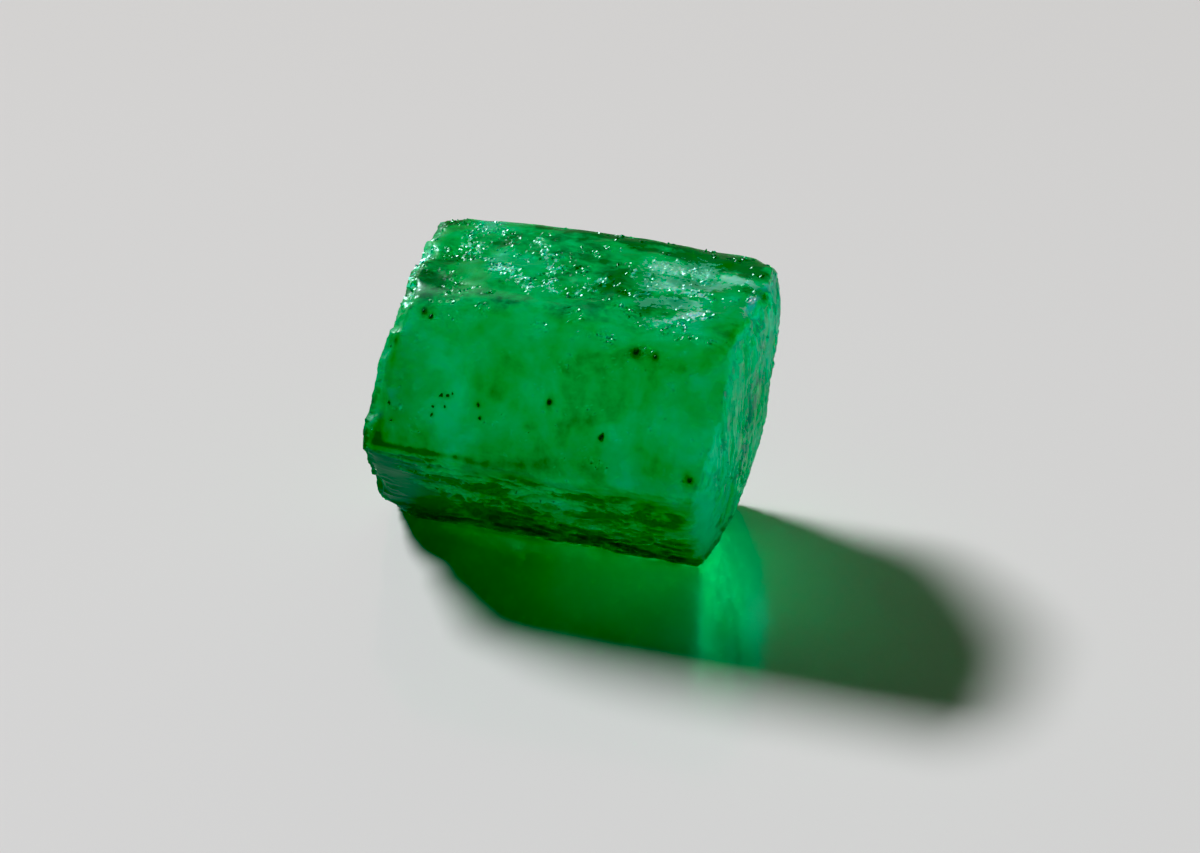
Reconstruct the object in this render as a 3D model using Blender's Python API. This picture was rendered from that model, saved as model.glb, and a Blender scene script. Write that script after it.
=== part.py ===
"""A rough emerald: one six-sided beryl crystal, broken at both ends and lying on a long face.

X runs along the crystal, Y points to its back and Z up, in metres. The bottom face lies at z = 0.
The solid starts as a slightly oversize prism. A worked block then cuts each long face and each
end to its own surface, and rough balls break the chips out of the edges.
"""

import math
import random
from dataclasses import dataclass

import bmesh
import bpy
from mathutils import Matrix, Vector, noise

MM = 0.001
PART_NAME = "emerald_crystal"
SEED = 41

# Widths of the long faces, walking round the section from the bottom face to the back and up.
# Beryl's faces meet at 120 degrees, so the last two widths follow from the first four.
BOTTOM = 4.15 * MM
LOWER_BACK = 6.55 * MM
UPPER_BACK = 2.90 * MM
TOP = 6.10 * MM
UPPER_FRONT = BOTTOM + LOWER_BACK - TOP
LOWER_FRONT = LOWER_BACK + UPPER_BACK - UPPER_FRONT
BOTTOM_FRONT_Y = -2.51 * MM
SIDE_NAMES = ("bottom", "lower_back", "upper_back", "top", "upper_front", "lower_front")
SIDE_WIDTHS = (BOTTOM, LOWER_BACK, UPPER_BACK, TOP, UPPER_FRONT, LOWER_FRONT)
SIDE_COUNT = len(SIDE_WIDTHS)
SIDE_TURN = math.radians(360 / SIDE_COUNT)

SECTION_MIDDLE_Z = 4.1 * MM

# The crystal is drawn about the middle of its section. This sets the finished box on the origin
TO_ORIGIN = (0.189 * MM, 0.065 * MM, 0.0)

# The oversize prism that the blocks cut down
CORE_HALF_LENGTH = 6.6 * MM
CORE_SWELL_Y = 1.25
CORE_SWELL_Z = 1.09

# The blocks reach past the edges by this much, and their cells are about this wide
REACH = 0.9 * MM
BLOCK_HEIGHT = 1.6 * MM
BLOCK_OVERHANG = 0.3 * MM
END_BLOCK_SIZE = (11.6 * MM, 10.6 * MM)
CELL_ALONG = 0.46 * MM
CELL_ACROSS = 0.28 * MM
CELL_END = 0.33 * MM
CELL_JITTER = 0.30

# Long faces: the size of their slow hollows, close grain, ledge bends and pits
HOLLOW_SIZE = 2.6 * MM
GRAIN_SIZE = 0.6 * MM
LEDGE_BEND_SIZE = 3.5 * MM
PIT_SPREAD_X = 5.4 * MM
PIT_SPREAD_ACROSS = 0.45
PIT_SQUEEZE_X = 0.7
PIT_RADIUS = (0.30 * MM, 0.62 * MM)
PIT_DEPTH = (0.05 * MM, 0.11 * MM)

# The top face stands a little proud in its middle
CROWN = 0.20 * MM
CROWN_X = -0.6 * MM
CROWN_HALF_LENGTH = 3.8 * MM

# Right end: a slightly domed break that leans out towards the top, with upright ridges.
# Its rim is worn round, most of all at the front.
RIGHT_X = 5.91 * MM
RIGHT_LEAN_Y = -0.03
RIGHT_LEAN_Z = 0.113
RIGHT_DOME = 0.027 / MM
RIM_DEPTH = 0.26 * MM
RIM_REACH = 0.85 * MM
RIM_BACK_Y = 3.0 * MM
RIM_FRONT_Y = -1.0 * MM
RIM_BACK_SHARE = 0.25
RIDGE_DEPTH = 0.34 * MM
RIDGE_SIZE = 1.2 * MM
RIDGE_HEIGHT = 4.0
RIDGE_SWAY = 0.35 * MM
RIDGE_SWAY_SIZE = 2.2 * MM

# Left end: a break that climbs in steps, with one wide hollow, and bulges at its front corner
LEFT_X = -5.90 * MM
LEFT_LEAN_Y = -0.113
LEFT_LEAN_Z = 0.089
LEFT_HOLLOW = 0.55 * MM
LEFT_HOLLOW_RADIUS = 2.6 * MM
LEFT_HOLLOW_Y = 0.9 * MM
LEFT_HOLLOW_Z = 3.5 * MM
LEFT_STEP = 0.16 * MM
LEFT_STEP_RUN = 1.5 * MM
LEFT_STEP_SHARE_Y = 0.8
LEFT_STEP_SHARE_Z = 1.3
LEFT_STEP_BEND = 1.2
LEFT_STEP_BEND_SIZE = 2.4 * MM
LEFT_ROUGHNESS = 0.12 * MM
LEFT_ROUGHNESS_SIZE = 1.0 * MM
LEFT_BULGE = 0.34 * MM
LEFT_BULGE_RADIUS = 4.2 * MM

# Chips are scooped by balls with dents, drawn out along the crystal
CHIP_ROUGHNESS = 0.30
CHIP_DENTS = 2.2
CHIP_LENGTH = 1.25
CHIP_SHIFT = 50

# Each worked surface reads its own slice of the noise
RIDGE_SLICE = 3 * MM
STEP_SLICE = 0.0
ROUGH_SLICE = 5 * MM

STONE_COLOR = (0.0, 0.26, 0.07, 1)
STONE_ROUGHNESS = 0.25
BERYL_IOR = 1.577


@dataclass(frozen=True)
class Finish:
    """How one long face is worked: hollows, grain, ledges, pits and worn edges sink below its plane.

    proud sets the plane out from the section. stretch draws the grain out along the crystal.
    """

    proud: float
    hollows: float
    grain: float
    stretch: float = 2.0
    wear: float = 0.05 * MM
    wear_reach: float = 0.5 * MM
    ledges: tuple = ()
    pits: int = 0


@dataclass(frozen=True)
class Ledge:
    """A step that runs along a face, at a share of its width.

    The far side is lower by drop, or the near side where drop is negative.
    """

    at: float
    drop: float
    sway: float = 0.35 * MM


@dataclass(frozen=True)
class Chip:
    """A scoop out of a long edge. lean turns its bite from the edge towards an end."""

    corner: int
    x: float
    radius: float
    bite: float
    lean: float = 0.0


@dataclass(frozen=True)
class RimChip:
    """A scoop out of the rim between an end and one side, at a share of the way across the side."""

    end: str
    side: int
    across: float
    radius: float
    bite: float


FINISHES = {
    "lower_back": Finish(
        proud=0.12 * MM,
        hollows=0.08 * MM,
        grain=0.08 * MM,
        stretch=3.0,
        ledges=(Ledge(0.35, 0.10 * MM), Ledge(0.7, -0.08 * MM)),
        pits=12,
    ),
    "upper_back": Finish(
        proud=0.08 * MM,
        hollows=0.05 * MM,
        grain=0.05 * MM,
        stretch=3.0,
        ledges=(Ledge(0.5, 0.06 * MM),),
        pits=4,
    ),
    "top": Finish(
        proud=0.18 * MM,
        hollows=0.06 * MM,
        grain=0.13 * MM,
        stretch=1.3,
        wear=0.12 * MM,
        wear_reach=0.8 * MM,
        ledges=(Ledge(0.62, 0.06 * MM),),
        pits=30,
    ),
    "upper_front": Finish(
        proud=0.16 * MM,
        hollows=0.07 * MM,
        grain=0.02 * MM,
        stretch=2.5,
        wear=0.09 * MM,
        wear_reach=0.7 * MM,
        ledges=(Ledge(0.90, 0.04 * MM),),
    ),
    "lower_front": Finish(
        proud=0.27 * MM,
        hollows=0.08 * MM,
        grain=0.15 * MM,
        stretch=3.2,
        wear_reach=0.4 * MM,
        ledges=(Ledge(0.34, 0.05 * MM), Ledge(0.62, 0.10 * MM)),
    ),
}

# Corners are numbered from the bottom front one, to the back and up round the section
BOTTOM_FRONT, BOTTOM_BACK, BACK, TOP_BACK, TOP_FRONT, FRONT = range(6)

EDGE_CHIPS = (
    Chip(TOP_BACK, -5.95 * MM, 1.60 * MM, 0.66 * MM, -0.7),
    Chip(TOP_BACK, -4.95 * MM, 0.80 * MM, 0.16 * MM),
    Chip(TOP_BACK, -3.05 * MM, 0.40 * MM, 0.10 * MM),
    Chip(TOP_BACK, 1.90 * MM, 0.90 * MM, 0.08 * MM),
    Chip(TOP_BACK, 5.30 * MM, 1.40 * MM, 0.36 * MM, 0.9),
    Chip(TOP_FRONT, -5.40 * MM, 1.30 * MM, 0.14 * MM, -1.1),
    Chip(TOP_FRONT, -2.10 * MM, 1.60 * MM, 0.11 * MM),
    Chip(TOP_FRONT, 1.60 * MM, 1.30 * MM, 0.10 * MM),
    Chip(TOP_FRONT, 5.60 * MM, 1.70 * MM, 0.26 * MM, 1.0),
    Chip(FRONT, -3.90 * MM, 1.10 * MM, 0.08 * MM),
    Chip(FRONT, 2.20 * MM, 1.40 * MM, 0.07 * MM),
    Chip(FRONT, 5.60 * MM, 1.50 * MM, 0.14 * MM, 1.0),
    Chip(BOTTOM_FRONT, -5.95 * MM, 1.60 * MM, 0.62 * MM, -0.9),
    Chip(BOTTOM_FRONT, -4.50 * MM, 1.00 * MM, 0.18 * MM),
    Chip(BOTTOM_FRONT, -3.15 * MM, 0.70 * MM, 0.22 * MM),
    Chip(BOTTOM_FRONT, -0.75 * MM, 0.80 * MM, 0.20 * MM),
    Chip(BOTTOM_FRONT, 0.35 * MM, 0.70 * MM, 0.22 * MM),
    Chip(BOTTOM_FRONT, 1.25 * MM, 0.60 * MM, 0.20 * MM),
    Chip(BOTTOM_FRONT, 3.20 * MM, 0.90 * MM, 0.16 * MM),
    Chip(BOTTOM_FRONT, 4.90 * MM, 1.10 * MM, 0.26 * MM, 0.8),
    Chip(BOTTOM_BACK, -5.80 * MM, 1.50 * MM, 0.40 * MM, -0.9),
    Chip(BOTTOM_BACK, -1.60 * MM, 1.20 * MM, 0.20 * MM),
    Chip(BOTTOM_BACK, 2.60 * MM, 0.80 * MM, 0.16 * MM),
    Chip(BOTTOM_BACK, 4.85 * MM, 1.00 * MM, 0.16 * MM, 0.9),
    Chip(BACK, -5.80 * MM, 1.90 * MM, 0.45 * MM, -0.8),
    Chip(BACK, -2.70 * MM, 1.20 * MM, 0.16 * MM),
    Chip(BACK, 0.90 * MM, 0.80 * MM, 0.12 * MM),
    Chip(BACK, 5.15 * MM, 1.10 * MM, 0.18 * MM, 0.9),
)

# Sides are numbered as in SIDE_NAMES. across runs from 0 at a side's first corner to 1
RIM_CHIPS = (
    RimChip("left", 1, 0.35, 1.60 * MM, 0.30 * MM),
    RimChip("left", 1, 0.72, 1.10 * MM, 0.20 * MM),
    RimChip("left", 2, 0.55, 1.00 * MM, 0.18 * MM),
    RimChip("left", 3, 0.28, 0.70 * MM, 0.14 * MM),
    RimChip("left", 3, 0.55, 1.30 * MM, 0.22 * MM),
    RimChip("left", 4, 0.34, 0.40 * MM, 0.10 * MM),
    RimChip("left", 4, 0.74, 1.50 * MM, 0.13 * MM),
    RimChip("left", 5, 0.52, 1.00 * MM, 0.12 * MM),
    RimChip("right", 1, 0.30, 1.20 * MM, 0.10 * MM),
    RimChip("right", 1, 0.66, 0.50 * MM, 0.10 * MM),
    RimChip("right", 3, 0.42, 1.20 * MM, 0.14 * MM),
    RimChip("right", 4, 0.60, 1.80 * MM, 0.06 * MM),
    RimChip("right", 5, 0.45, 1.30 * MM, 0.12 * MM),
)


def smooth_step(value):
    """0 below 0, 1 above 1 and a soft rise between."""
    value = min(max(value, 0.0), 1.0)
    return value * value * (3 - 2 * value)


def swirl(x, y, z, size, layers=3):
    """Layered noise between about -1 and 1, whose largest lumps are about size across."""
    return noise.fractal(Vector((x, y, z)) / size, 1.0, 2.0, layers)


def section_corners():
    """The six corners of the section as (y, z), from the bottom front one round to the front."""
    y, z = BOTTOM_FRONT_Y, 0.0
    corners = []
    for number, width in enumerate(SIDE_WIDTHS):
        corners.append((y, z))
        y += width * math.cos(number * SIDE_TURN)
        z += width * math.sin(number * SIDE_TURN)
    return corners


def outward_normal(side):
    """The direction that a long face looks in."""
    turn = side * SIDE_TURN
    return Vector((0, math.sin(turn), -math.cos(turn)))


def inside_distance(y, z):
    """How far a point of the section lies inside its nearest side."""
    distances = []
    for side, (corner_y, corner_z) in enumerate(section_corners()):
        step = Vector((0, y - corner_y, z - corner_z))
        distances.append(-step.dot(outward_normal(side)))
    return min(distances)


def new_object(name, bm, collection, material=None):
    """An object made from a bmesh, moved onto the part's origin, in a collection."""
    bmesh.ops.translate(bm, verts=bm.verts, vec=TO_ORIGIN)
    mesh = bpy.data.meshes.new(name)
    bm.to_mesh(mesh)
    bm.free()
    obj = bpy.data.objects.new(name, mesh)
    collection.objects.link(obj)
    if material:
        mesh.materials.append(material)
    return obj


def face_outwards(bm):
    """Makes every face of a closed shape look outwards."""
    bmesh.ops.recalc_face_normals(bm, faces=bm.faces)
    if bm.calc_volume(signed=True) < 0:
        bmesh.ops.reverse_faces(bm, faces=bm.faces)


def make_core(collection, material):
    """The oversize six-sided prism. Its bottom already lies at z = 0."""
    bm = bmesh.new()
    bmesh.ops.create_circle(bm, cap_ends=True, segments=SIDE_COUNT, radius=1)
    bm.verts.ensure_lookup_table()
    for vert, (y, z) in zip(bm.verts, section_corners()):
        vert.co = (-CORE_HALF_LENGTH, y * CORE_SWELL_Y, z * CORE_SWELL_Z)
    extruded = bmesh.ops.extrude_face_region(bm, geom=bm.faces[:])["geom"]
    moved = [item for item in extruded if isinstance(item, bmesh.types.BMVert)]
    bmesh.ops.translate(bm, verts=moved, vec=(2 * CORE_HALF_LENGTH, 0, 0))
    face_outwards(bm)
    return new_object(PART_NAME, bm, collection, material)


def make_block(name, collection, frame, size, cells, depth_at):
    """A closed block whose inner side is the worked surface.

    frame places the block: its XY plane is the face's plane, and its Z looks out of the crystal.
    depth_at(u, v) says how far the surface sinks below that plane.
    """
    dice = random.Random(f"{SEED} {name}")
    count_u = round(size[0] / cells[0])
    count_v = round(size[1] / cells[1])
    bm = bmesh.new()
    bmesh.ops.create_grid(bm, x_segments=count_u, y_segments=count_v, size=0.5)
    for vert in bm.verts:
        u, v = vert.co.x * size[0], vert.co.y * size[1]
        if not vert.is_boundary:
            u += dice.uniform(-CELL_JITTER, CELL_JITTER) * cells[0]
            v += dice.uniform(-CELL_JITTER, CELL_JITTER) * cells[1]
        vert.co = (u, v, -depth_at(u, v))
    bmesh.ops.triangulate(bm, faces=bm.faces)
    rim = [edge for edge in bm.edges if edge.is_boundary]
    raised = bmesh.ops.extrude_edge_only(bm, edges=rim)["geom"]
    for item in raised:
        if isinstance(item, bmesh.types.BMVert):
            item.co.z = BLOCK_HEIGHT
    bmesh.ops.holes_fill(bm, edges=[edge for edge in bm.edges if edge.is_boundary])
    bm.transform(frame)
    face_outwards(bm)
    return new_object(f"cut_{name}", bm, collection)


def ledge_depth(ledge, x, across, width):
    """The drop of one ledge at a point of its face."""
    line = ledge.at * width + ledge.sway * swirl(x, ledge.at, 0, LEDGE_BEND_SIZE)
    past = smooth_step((across - line) / CELL_ACROSS)
    return ledge.drop * past if ledge.drop > 0 else -ledge.drop * (1 - past)


def scattered_pits(name, width, count):
    """Pits over one face, each as its x, its place from the middle of the width, radius and depth."""
    dice = random.Random(f"{SEED} pits {name}")
    pits = []
    for _ in range(count):
        x = dice.uniform(-PIT_SPREAD_X, PIT_SPREAD_X)
        v = dice.uniform(-PIT_SPREAD_ACROSS, PIT_SPREAD_ACROSS) * width
        pits.append((x, v, dice.uniform(*PIT_RADIUS), dice.uniform(*PIT_DEPTH)))
    return pits


def side_depth(side):
    """The depth function of one long face, in metres along X and from the middle of its width."""
    name = SIDE_NAMES[side]
    width = SIDE_WIDTHS[side]
    finish = FINISHES[name]
    pits = scattered_pits(name, width, finish.pits)
    noise_slice = side * MM

    def depth(x, v):
        across = v + width / 2
        hollow = 0.5 + 0.5 * swirl(x, v, noise_slice, HOLLOW_SIZE, layers=2)
        long_x = x / finish.stretch
        grain = 0.5 + 0.5 * swirl(long_x, v, noise_slice, GRAIN_SIZE, layers=2)
        sink = finish.hollows * hollow + finish.grain * grain - finish.proud
        sink += sum(ledge_depth(ledge, x, across, width) for ledge in finish.ledges)
        for pit_x, pit_v, radius, pit_depth in pits:
            reach = math.hypot((x - pit_x) * PIT_SQUEEZE_X, v - pit_v) / radius
            sink += pit_depth * (1 - smooth_step(reach))
        edge = min(across, width - across)
        sink += finish.wear * max(0.0, 1 - edge / finish.wear_reach) ** 2
        if name == "top":
            sink -= CROWN * max(0.0, 1 - ((x - CROWN_X) / CROWN_HALF_LENGTH) ** 2)
        return sink

    return depth


def right_depth(y, v):
    """Depth of the right end below the plane x = RIGHT_X, at v above the middle of the section."""
    z = v + SECTION_MIDDLE_Z
    lean = RIGHT_LEAN_Y * y + RIGHT_LEAN_Z * v
    dome = RIGHT_DOME * (y * y + v * v)
    sway = RIDGE_SWAY * swirl(0, 0, z, RIDGE_SWAY_SIZE, layers=1)
    ridge = RIDGE_DEPTH * abs(swirl(RIDGE_SLICE, y + sway, z / RIDGE_HEIGHT, RIDGE_SIZE))
    front_share = smooth_step((RIM_BACK_Y - y) / (RIM_BACK_Y - RIM_FRONT_Y))
    rim_depth = RIM_DEPTH * (RIM_BACK_SHARE + (1 - RIM_BACK_SHARE) * front_share)
    rim = rim_depth * max(0.0, 1 - inside_distance(y, z) / RIM_REACH) ** 2
    return dome - lean + ridge + rim


def left_depth(y, v):
    """Depth of the left end below the plane x = LEFT_X, at v above the middle of the section."""
    z = v + SECTION_MIDDLE_Z
    lean = LEFT_LEAN_Y * y + LEFT_LEAN_Z * v
    from_hollow = math.hypot(y - LEFT_HOLLOW_Y, z - LEFT_HOLLOW_Z) / LEFT_HOLLOW_RADIUS
    hollow = LEFT_HOLLOW * max(0.0, 1 - from_hollow * from_hollow)
    climb = (LEFT_STEP_SHARE_Y * y + LEFT_STEP_SHARE_Z * v) / LEFT_STEP_RUN
    climb += LEFT_STEP_BEND * swirl(y, z, STEP_SLICE, LEFT_STEP_BEND_SIZE, layers=2)
    step = LEFT_STEP * (climb - math.floor(climb))
    rough = LEFT_ROUGHNESS * swirl(y, z, ROUGH_SLICE, LEFT_ROUGHNESS_SIZE)
    corner_y, corner_z = section_corners()[FRONT]
    from_front = math.hypot(y - corner_y, z - corner_z) / LEFT_BULGE_RADIUS
    bulge = LEFT_BULGE * (1 - smooth_step(from_front))
    return lean + hollow + step + rough - bulge


def side_block(side, collection):
    """The block that works one long face."""
    across = Vector((0, math.cos(side * SIDE_TURN), math.sin(side * SIDE_TURN)))
    corner = Vector((0, *section_corners()[side]))
    width = SIDE_WIDTHS[side]
    middle = corner + across * width / 2
    columns = Matrix((Vector((1, 0, 0)), across, outward_normal(side))).transposed()
    frame = Matrix.Translation(middle) @ columns.to_4x4()
    size = (2 * (CORE_HALF_LENGTH + BLOCK_OVERHANG), width + 2 * REACH)
    cells = (CELL_ALONG, CELL_ACROSS)
    return make_block(SIDE_NAMES[side], collection, frame, size, cells, side_depth(side))


def end_block(name, x, direction, depth_at, collection):
    """The block that works one end. direction is 1 on the right and -1 on the left."""
    columns = Matrix(((0, 1, 0), (0, 0, 1), (direction, 0, 0))).transposed()
    frame = Matrix.Translation((x, 0, SECTION_MIDDLE_Z)) @ columns.to_4x4()
    return make_block(name, collection, frame, END_BLOCK_SIZE, (CELL_END, CELL_END), depth_at)


def edge_chip(number, chip, collection):
    """The ball that scoops one chip out of a long edge."""
    edge = Vector((chip.x, *section_corners()[chip.corner]))
    outward = outward_normal(chip.corner) + outward_normal((chip.corner - 1) % SIDE_COUNT)
    outward = (outward.normalized() + Vector((chip.lean, 0, 0))).normalized()
    return chip_ball(f"edge_chip_{number:02d}", edge, outward, chip, collection)


def rim_chip(number, chip, collection):
    """The ball that scoops one chip out of the rim of an end."""
    y, z = section_corners()[chip.side]
    y += chip.across * SIDE_WIDTHS[chip.side] * math.cos(chip.side * SIDE_TURN)
    z += chip.across * SIDE_WIDTHS[chip.side] * math.sin(chip.side * SIDE_TURN)
    if chip.end == "right":
        x, direction = RIGHT_X - right_depth(y, z - SECTION_MIDDLE_Z), 1
    else:
        x, direction = LEFT_X + left_depth(y, z - SECTION_MIDDLE_Z), -1
    outward = (outward_normal(chip.side) + Vector((direction, 0, 0))).normalized()
    return chip_ball(f"rim_chip_{number:02d}", Vector((x, y, z)), outward, chip, collection)


def chip_ball(name, place, outward, chip, collection):
    """A rough ball that reaches into the crystal at a place by the chip's bite."""
    dice = random.Random(f"{SEED} {name}")
    shift = Vector((dice.uniform(0, CHIP_SHIFT), 0, 0))
    bm = bmesh.new()
    bmesh.ops.create_icosphere(bm, subdivisions=2, radius=chip.radius)
    for vert in bm.verts:
        dent = abs(noise.noise(vert.co.normalized() * CHIP_DENTS + shift))
        vert.co *= 1 - CHIP_ROUGHNESS * dent
        vert.co.x *= CHIP_LENGTH
    bmesh.ops.translate(bm, verts=bm.verts, vec=place + outward * (chip.radius - chip.bite))
    return new_object(f"cut_{name}", bm, collection)


def cut(core, cutter):
    """Takes a cutter away from the core with a Boolean modifier."""
    cutter.hide_render = True
    cutter.display_type = "WIRE"
    modifier = core.modifiers.new(cutter.name, "BOOLEAN")
    modifier.operation = "DIFFERENCE"
    modifier.solver = "EXACT"
    modifier.object = cutter


def emerald_material():
    """Green stone."""
    material = bpy.data.materials.new("emerald")
    material.use_nodes = True
    shader = material.node_tree.nodes["Principled BSDF"]
    shader.inputs["Base Color"].default_value = STONE_COLOR
    shader.inputs["Roughness"].default_value = STONE_ROUGHNESS
    shader.inputs["Metallic"].default_value = 0.0
    shader.inputs["IOR"].default_value = BERYL_IOR
    return material


def new_collection(name):
    """A collection in the scene."""
    collection = bpy.data.collections.new(name)
    bpy.context.scene.collection.children.link(collection)
    return collection


def main():
    """Builds the crystal."""
    for obj in list(bpy.data.objects):
        bpy.data.objects.remove(obj)
    part = new_collection(PART_NAME)
    cutters = new_collection("cutters")
    core = make_core(part, emerald_material())
    for side in range(1, SIDE_COUNT):
        cut(core, side_block(side, cutters))
    cut(core, end_block("right_end", RIGHT_X, 1, right_depth, cutters))
    cut(core, end_block("left_end", LEFT_X, -1, left_depth, cutters))
    for number, chip in enumerate(EDGE_CHIPS):
        cut(core, edge_chip(number, chip, cutters))
    for number, chip in enumerate(RIM_CHIPS):
        cut(core, rim_chip(number, chip, cutters))


main()
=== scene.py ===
"""The looks of a rough emerald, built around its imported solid.

The crystal lies along X with its back at +Y and its bottom face at z = 0, in metres. A fine skin is
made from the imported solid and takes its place. The dark specks and the dark clouds that show through
the stone are pieces of their own inside it.
"""

import logging
import math
import random
from dataclasses import dataclass, field
from enum import Enum

import bmesh
import bpy
import numpy as np
from mathutils import Matrix, Vector, noise
from mathutils.bvhtree import BVHTree


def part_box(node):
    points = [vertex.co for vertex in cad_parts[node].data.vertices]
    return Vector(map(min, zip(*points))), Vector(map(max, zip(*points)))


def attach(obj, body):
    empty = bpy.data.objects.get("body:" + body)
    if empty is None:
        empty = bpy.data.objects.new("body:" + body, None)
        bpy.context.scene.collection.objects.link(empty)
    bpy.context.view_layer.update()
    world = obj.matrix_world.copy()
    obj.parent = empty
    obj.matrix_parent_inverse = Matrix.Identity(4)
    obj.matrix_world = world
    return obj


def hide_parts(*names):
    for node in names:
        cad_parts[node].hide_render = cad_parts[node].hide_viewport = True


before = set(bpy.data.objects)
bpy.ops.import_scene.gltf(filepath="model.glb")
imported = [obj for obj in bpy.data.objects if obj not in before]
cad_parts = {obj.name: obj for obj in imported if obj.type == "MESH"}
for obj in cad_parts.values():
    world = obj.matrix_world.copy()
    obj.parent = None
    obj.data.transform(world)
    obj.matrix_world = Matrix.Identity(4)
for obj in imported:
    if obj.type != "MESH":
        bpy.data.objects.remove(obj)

MM = 0.001
CRYSTAL_NODE = "emerald_crystal"
BODY = "root"
TURN_PER_SIDE = math.radians(60)
# The least squared length of a stroke, in square metres.
LEAST_SQUARED_RUN = MM * MM * MM

Colour = tuple[float, float, float, float]
Pixel = tuple[float, float]
Triple = tuple[float, float, float]
BMesh = bmesh.types.BMesh
BMVert = bmesh.types.BMVert
BMFace = bmesh.types.BMFace

log = logging.getLogger("emerald")


def clamp(value: float, low: float = 0.0, high: float = 1.0) -> float:
    """Holds a value between two limits."""
    return min(max(value, low), high)


def ease(value: float, start: float, end: float) -> float:
    """Rises smoothly from 0 at start to 1 at end."""
    share = clamp((value - start) / (end - start))
    return share * share * (3 - 2 * share)


def shrunk(place: Vector, stretch: Triple) -> Vector:
    """A place brought nearer along each axis, which draws out the noise that is read there."""
    return Vector(a / b for a, b in zip(place, stretch))


@dataclass(frozen=True)
class Fractal:
    """Soft noise in layers, each one finer and weaker than the last."""

    falloff: float = 1.0
    spacing: float = 2.0
    layers: int = 3

    def at(self, place: Vector) -> float:
        """The noise at a point, which swings about 0."""
        return noise.fractal(place, self.falloff, self.spacing, self.layers)


SOFT = Fractal()
SPOTTED = Fractal(falloff=0.9, layers=2)
CREASED = Fractal(falloff=0.8, spacing=2.1, layers=4)


class Side(Enum):
    """The crystal's sides. The six long ones are numbered from the bottom, round by the back."""

    BOTTOM = 0
    LOWER_BACK = 1
    UPPER_BACK = 2
    TOP = 3
    UPPER_FRONT = 4
    LOWER_FRONT = 5
    RIGHT_END = 6
    LEFT_END = 7

    def normal(self) -> Vector:
        """The direction that the side looks in.

        Returns:
            The direction, one metre long.
        """
        if self is Side.RIGHT_END:
            return Vector((1, 0, 0))
        if self is Side.LEFT_END:
            return Vector((-1, 0, 0))
        turn = self.value * TURN_PER_SIDE
        return Vector((0, math.sin(turn), -math.cos(turn)))


@dataclass(frozen=True)
class PhotoCamera:
    """The camera that took the photo, solved from the crystal's edges."""

    image_width: int = 1200
    image_height: int = 853
    focal: float = 2600.0
    elevation: float = math.radians(30)
    turn: float = math.radians(17.61)
    target: Triple = (1.194 * MM, -1.433 * MM, 4.0 * MM)
    distance: float = 82.13 * MM
    sensor_width: float = 36.0
    nearest: float = 1 * MM
    farthest: float = 5.0

    def forward(self) -> Vector:
        """The direction that the camera looks in."""
        flat = math.cos(self.elevation)
        return Vector(
            (-math.sin(self.turn) * flat, math.cos(self.turn) * flat, -math.sin(self.elevation))
        )

    def location(self) -> Vector:
        """The place of the camera."""
        return Vector(self.target) - self.forward() * self.distance

    def pixel_size(self) -> float:
        """The width of the photo's pixel at the crystal."""
        return self.distance / self.focal

    def ray(self, pixel: Pixel) -> Vector:
        """The direction from the camera through a pixel of the photo.

        Args:
            pixel: Pixels from the photo's left edge and from its top edge.

        Returns:
            The direction, one metre long.
        """
        forward = self.forward()
        right = Vector((math.cos(self.turn), math.sin(self.turn), 0))
        up = right.cross(forward)
        across = (pixel[0] - self.image_width / 2) / self.focal
        down = (pixel[1] - self.image_height / 2) / self.focal
        return (forward + right * across - up * down).normalized()

    def build(self) -> None:
        """Makes the scene's camera."""
        data = bpy.data.cameras.new("photo_camera")
        data.sensor_width = self.sensor_width
        data.lens = self.focal * self.sensor_width / self.image_width
        data.clip_start = self.nearest
        data.clip_end = self.farthest
        camera = bpy.data.objects.new("photo_camera", data)
        camera.location = self.location()
        camera.rotation_euler = self.forward().to_track_quat("-Z", "Y").to_euler()
        bpy.context.scene.collection.objects.link(camera)
        bpy.context.scene.camera = camera


@dataclass(frozen=True)
class View:
    """The photo's camera and the stone's surface, which turn a pixel into a place on the stone."""

    camera: PhotoCamera
    surface: BVHTree

    def hit(self, pixel: Pixel) -> tuple[Vector, Vector] | None:
        """The place on the stone that a pixel shows.

        Args:
            pixel: Pixels from the photo's left edge and from its top edge.

        Returns:
            The place and the surface's direction there, or None beside the stone.
        """
        place, normal, _, _ = self.surface.ray_cast(self.camera.location(), self.camera.ray(pixel))
        if place is None:
            log.warning("pixel %s lies beside the stone", pixel)
            return None
        return place, normal


@dataclass(frozen=True)
class Stroke:
    """A soft mark on the stone, from one pixel of the photo to another. half_width is in pixels."""

    start: Pixel
    end: Pixel
    half_width: float
    strength: float

    def values(self, view: View, places: np.ndarray) -> np.ndarray:
        """The mark's strength at many points.

        Args:
            view: What turns a pixel into a place.
            places: The points, one a row.

        Returns:
            The strength at each point.
        """
        ends = [view.hit(pixel) for pixel in (self.start, self.end)]
        if None in ends:
            return np.zeros(len(places))
        start = np.array(ends[0][0])
        run = np.array(ends[1][0]) - start
        along = np.clip((places - start) @ run / max(run @ run, LEAST_SQUARED_RUN), 0, 1)
        off = np.linalg.norm(places - start - along[:, None] * run, axis=1)
        return self.strength * np.exp(-((off / (self.half_width * view.camera.pixel_size())) ** 2))


StrokeTable = dict[str, tuple[Stroke, ...]]


@dataclass(frozen=True)
class Spot:
    """The place of a thing inside the stone, behind a pixel of the photo. diameter is in pixels.

    depth is how far under the surface its upper end lies, below 0 where it reaches past it.
    """

    pixel: Pixel
    diameter: float
    depth: float = -0.03 * MM


SpotTable = dict[str, tuple[Spot, ...]]


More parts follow.
